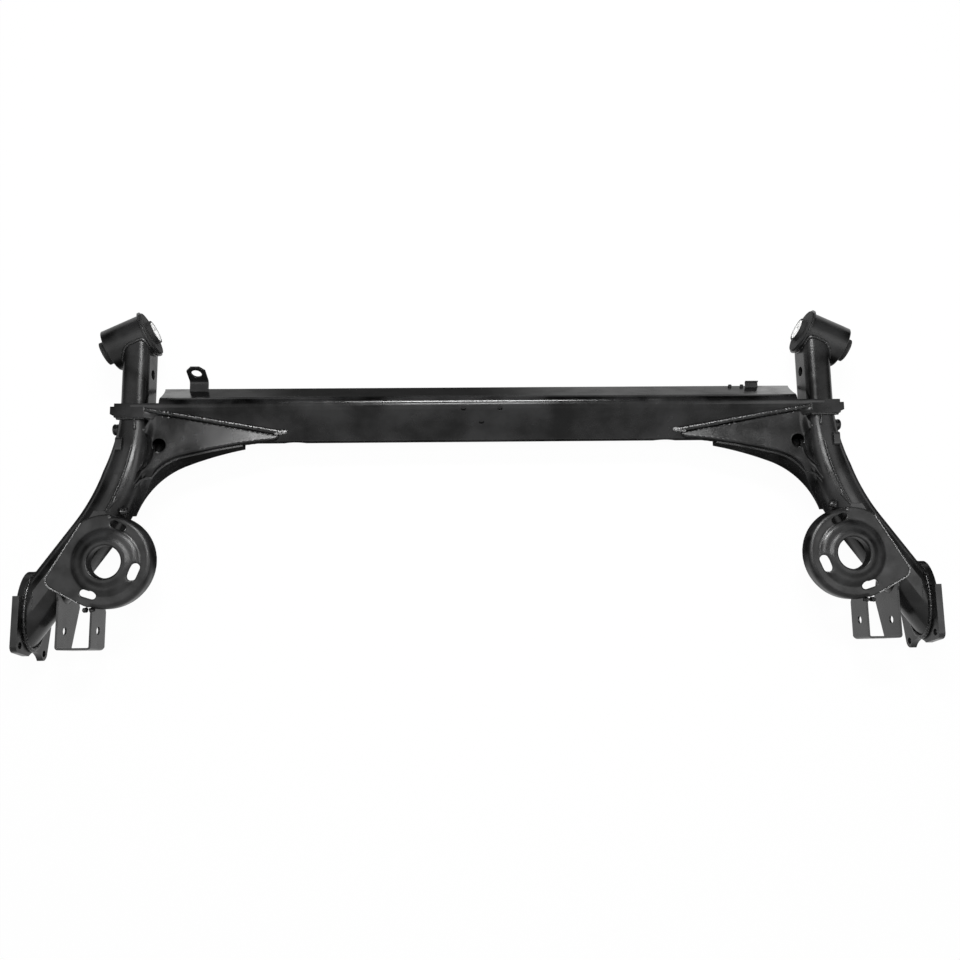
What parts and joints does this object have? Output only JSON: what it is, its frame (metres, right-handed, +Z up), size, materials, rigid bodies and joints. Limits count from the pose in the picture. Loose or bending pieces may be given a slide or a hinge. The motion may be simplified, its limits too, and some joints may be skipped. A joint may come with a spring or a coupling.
{
  "type": "rear axle beam",
  "caption": "Twist beam rear axle: V section crossbeam, curved tube arms with bush eyes, gussets, spring seats, damper brackets and hub plates, painted black.",
  "frame": {"origin": "under the middle of the axle, on the plane that its lowest points touch", "axes": "+X to the vehicle's right, +Y to its front, where the bushes are, +Z up"},
  "size_m": [1.42, 0.558, 0.1174],
  "materials": {
    "painted_steel": "satin black",
    "bush_sleeve": "satin black",
    "bush_rubber": "matt",
    "bush_core": "dull, bare"
  },
  "bodies": {
    "root": {"crossbeam": "painted_steel", "right_trailing_arm": "painted_steel", "right_bush_eye": "painted_steel", "right_gusset_upper": "painted_steel", "right_gusset_lower": "painted_steel", "right_spring_seat": "painted_steel", "right_damper_bracket": "painted_steel", "right_hub_plate": "painted_steel", "right_side_boss": "painted_steel", "right_cable_clip": "painted_steel", "left_trailing_arm": "painted_steel", "left_bush_eye": "painted_steel", "left_gusset_upper": "painted_steel", "left_gusset_lower": "painted_steel", "left_spring_seat": "painted_steel", "left_damper_bracket": "painted_steel", "left_hub_plate": "painted_steel", "left_side_boss": "painted_steel", "left_cable_clip": "painted_steel", "brake_hose_bracket": "painted_steel", "brake_line_clip": "painted_steel", "inner_line_stud": "painted_steel", "outer_line_stud": "painted_steel", "right_bush_sleeve": "bush_sleeve", "right_bush_rubber": "bush_rubber", "right_bush_core": "bush_core", "left_bush_sleeve": "bush_sleeve", "left_bush_rubber": "bush_rubber", "left_bush_core": "bush_core"}
  },
  "joints": []
}
